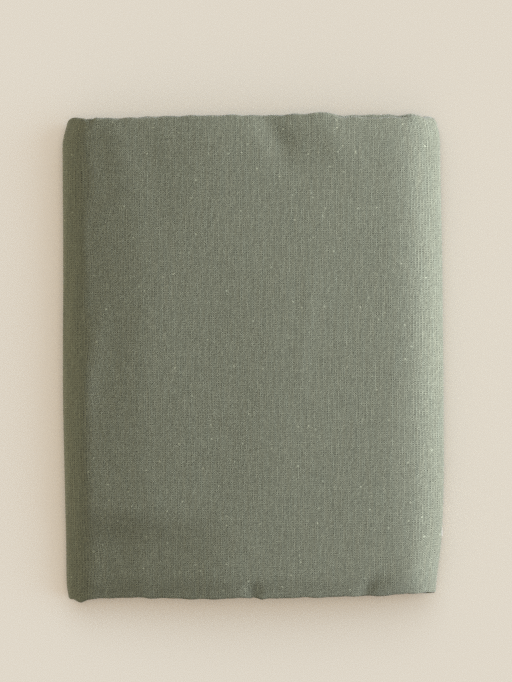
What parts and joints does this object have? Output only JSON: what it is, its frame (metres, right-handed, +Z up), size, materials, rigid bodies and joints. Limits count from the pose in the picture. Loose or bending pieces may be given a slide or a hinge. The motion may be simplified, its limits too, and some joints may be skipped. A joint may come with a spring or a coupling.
{
  "type": "folded tablecloth",
  "caption": "Plain-weave tablecloth folded into a thick flat packet, whose upper leaf opens over its left fold.",
  "frame": {"origin": "middle of the face that the folded packet lies on", "axes": "+X across the packet towards the fold where the tucked panel turns in, +Y along its longer side, +Z up through the layers"},
  "size_m": [0.242, 0.304, 0.033],
  "materials": {
    "cloth": "matt slubbed plain weave",
    "hem_cloth": "matt slubbed plain weave, turned and pressed",
    "hem_thread": "twisted cotton thread",
    "label_tape": "plain woven tape"
  },
  "bodies": {
    "lower_leaf": {"care_label": "label_tape", "left_fold_lower_inner": "cloth", "left_fold_lower_outer": "cloth", "long_hem_inner": "hem_cloth", "long_hem_outer": "hem_cloth", "long_hem_stitching_inner": "hem_thread", "long_hem_stitching_outer": "hem_thread", "lower_panel_inner": "cloth", "lower_panel_outer": "cloth", "short_hem_lower_inner": "hem_cloth", "short_hem_lower_outer": "hem_cloth", "short_hem_stitching_lower_inner": "hem_thread", "short_hem_stitching_lower_outer": "hem_thread"},
    "left_fold": {"left_fold_spine_inner": "cloth", "left_fold_spine_outer": "cloth"},
    "upper_leaf": {"left_fold_upper_inner": "cloth", "left_fold_upper_outer": "cloth", "right_fold_inner": "cloth", "right_fold_outer": "cloth", "short_hem_stitching_top_inner": "hem_thread", "short_hem_stitching_top_outer": "hem_thread", "short_hem_stitching_tucked_inner": "hem_thread", "short_hem_stitching_tucked_outer": "hem_thread", "short_hem_top_inner": "hem_cloth", "short_hem_top_outer": "hem_cloth", "short_hem_tucked_inner": "hem_cloth", "short_hem_tucked_outer": "hem_cloth", "top_panel_inner": "cloth", "top_panel_outer": "cloth", "tucked_end_fold": "cloth", "tucked_panel_inner": "cloth", "tucked_panel_outer": "cloth"}
  },
  "joints": [
    {"name": "lower_fold_bend", "type": "hinge", "parent": "lower_leaf", "child": "left_fold", "pos_m": [-0.11228, 0, 0.00872], "axis": [0, -1, 0], "range_deg": [0, 90], "deforming": ["left_fold_lower_outer", "left_fold_lower_inner"]},
    {"name": "upper_fold_bend", "type": "hinge", "parent": "left_fold", "child": "upper_leaf", "pos_m": [-0.11228, 0, 0.02428], "axis": [0, -1, 0], "range_deg": [0, 90], "deforming": ["left_fold_upper_outer", "left_fold_upper_inner"]}
  ],
  "couplings": [
    {"joint": "upper_fold_bend", "follows": "lower_fold_bend", "ratio": 1}
  ]
}
